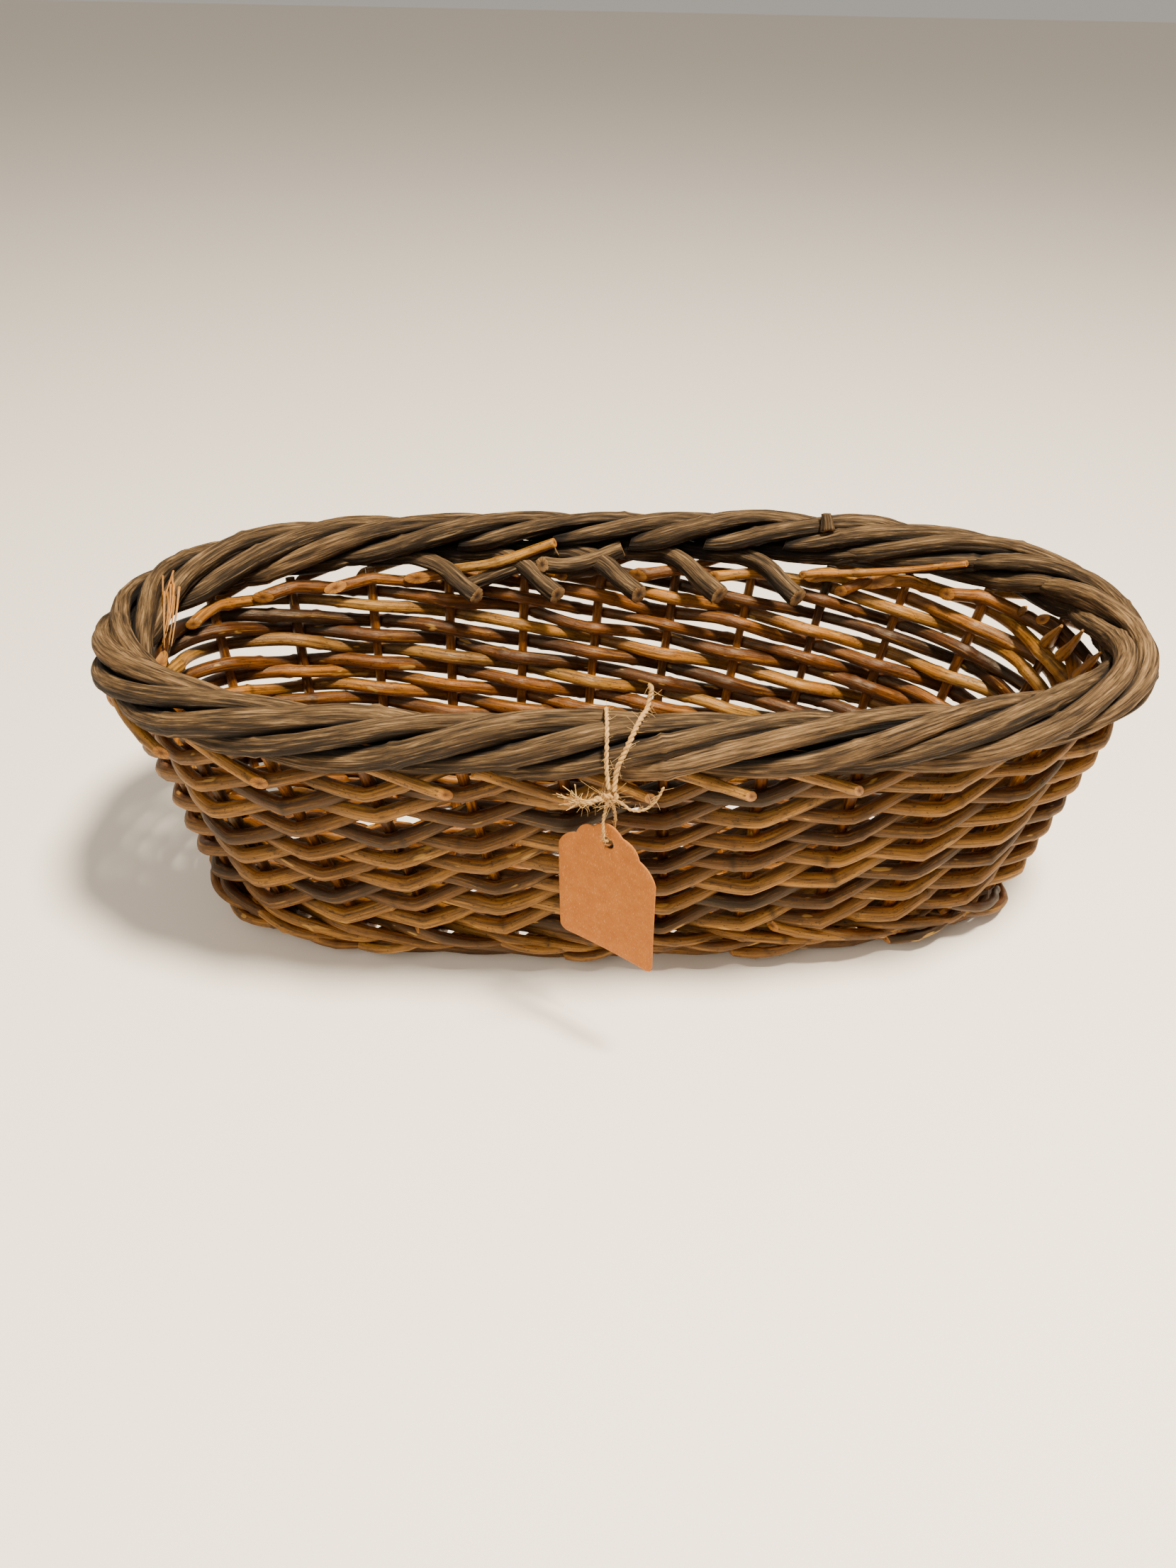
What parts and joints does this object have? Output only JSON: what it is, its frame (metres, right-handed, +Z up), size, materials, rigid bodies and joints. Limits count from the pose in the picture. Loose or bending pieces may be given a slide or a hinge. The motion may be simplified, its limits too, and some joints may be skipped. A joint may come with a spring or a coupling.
{
  "type": "oval wicker bread basket",
  "caption": "Oval wicker bread basket with diagonally woven willow sides, a woven foot, a thick rope-laid vine border, and a blank card tag tied on with twine.",
  "frame": {"origin": "centre of the footprint, on the surface that the basket stands on", "axes": "+X along the basket's length, +Y away from the side with the tag, +Z up out of its mouth"},
  "size_m": [0.4401, 0.2249, 0.1513],
  "materials": {
    "willow_weave": "satin",
    "willow_stake": "satin",
    "vine_border": "matte",
    "jute_twine": "matte",
    "kraft_card": "matte"
  },
  "bodies": {
    "basket": {"cross_rib_01": "willow_stake", "cross_rib_02": "willow_stake", "cross_rib_03": "willow_stake", "cross_rib_04": "willow_stake", "cross_rib_05": "willow_stake", "cross_rib_06": "willow_stake", "cross_rib_07": "willow_stake", "cross_rib_08": "willow_stake", "cross_rib_09": "willow_stake", "cross_rib_10": "willow_stake", "long_rib_back": "willow_stake", "long_rib_middle": "willow_stake", "long_rib_front": "willow_stake", "base_weaver_back": "willow_weave", "base_weaver_front": "willow_weave", "base_weaver_back_edge": "willow_weave", "base_weaver_front_edge": "willow_weave", "rand_rod_01": "willow_weave", "rand_rod_02": "willow_weave", "rand_rod_03": "willow_weave", "rand_rod_04": "willow_weave", "rand_rod_05": "willow_weave", "rand_rod_06": "willow_weave", "rand_rod_07": "willow_weave", "rand_rod_08": "willow_weave", "rand_rod_09": "willow_weave", "rand_rod_10": "willow_weave", "rand_rod_11": "willow_weave", "rand_rod_12": "willow_weave", "rand_rod_13": "willow_weave", "rand_rod_14": "willow_weave", "rand_rod_15": "willow_weave", "rand_rod_16": "willow_weave", "rand_rod_17": "willow_weave", "rand_rod_18": "willow_weave", "rand_rod_19": "willow_weave", "rand_rod_20": "willow_weave", "rand_rod_21": "willow_weave", "rand_rod_22": "willow_weave", "rand_rod_23": "willow_weave", "rand_rod_24": "willow_weave", "rand_rod_25": "willow_weave", "rand_rod_26": "willow_weave", "wale_rod_1": "willow_weave", "wale_rod_2": "willow_weave", "wale_rod_3": "willow_weave", "foot_hoop_lower": "willow_stake", "foot_hoop_upper": "willow_stake", "border_strand_1": "vine_border", "border_strand_2": "vine_border", "border_strand_3": "vine_border", "border_strand_4": "vine_border", "border_strand_5": "vine_border", "tie_loop": "jute_twine", "twine_knot": "jute_twine", "twine_end_frayed": "jute_twine", "twine_end_long": "jute_twine"},
    "tag_string": {"tag_string": "jute_twine"},
    "price_tag": {"price_tag": "kraft_card"}
  },
  "joints": [
    {"name": "tag_twist", "type": "hinge", "parent": "basket", "child": "tag_string", "pos_m": [-0.0135, -0.1085, 0.1265], "axis": [0, 0, 1], "range_deg": [-6, 75]},
    {"name": "tag_swing", "type": "hinge", "parent": "tag_string", "child": "price_tag", "pos_m": [-0.0135, -0.1085, 0.106], "axis": [-0.6157, -0.788, 0], "range_deg": [-20, 20]}
  ]
}
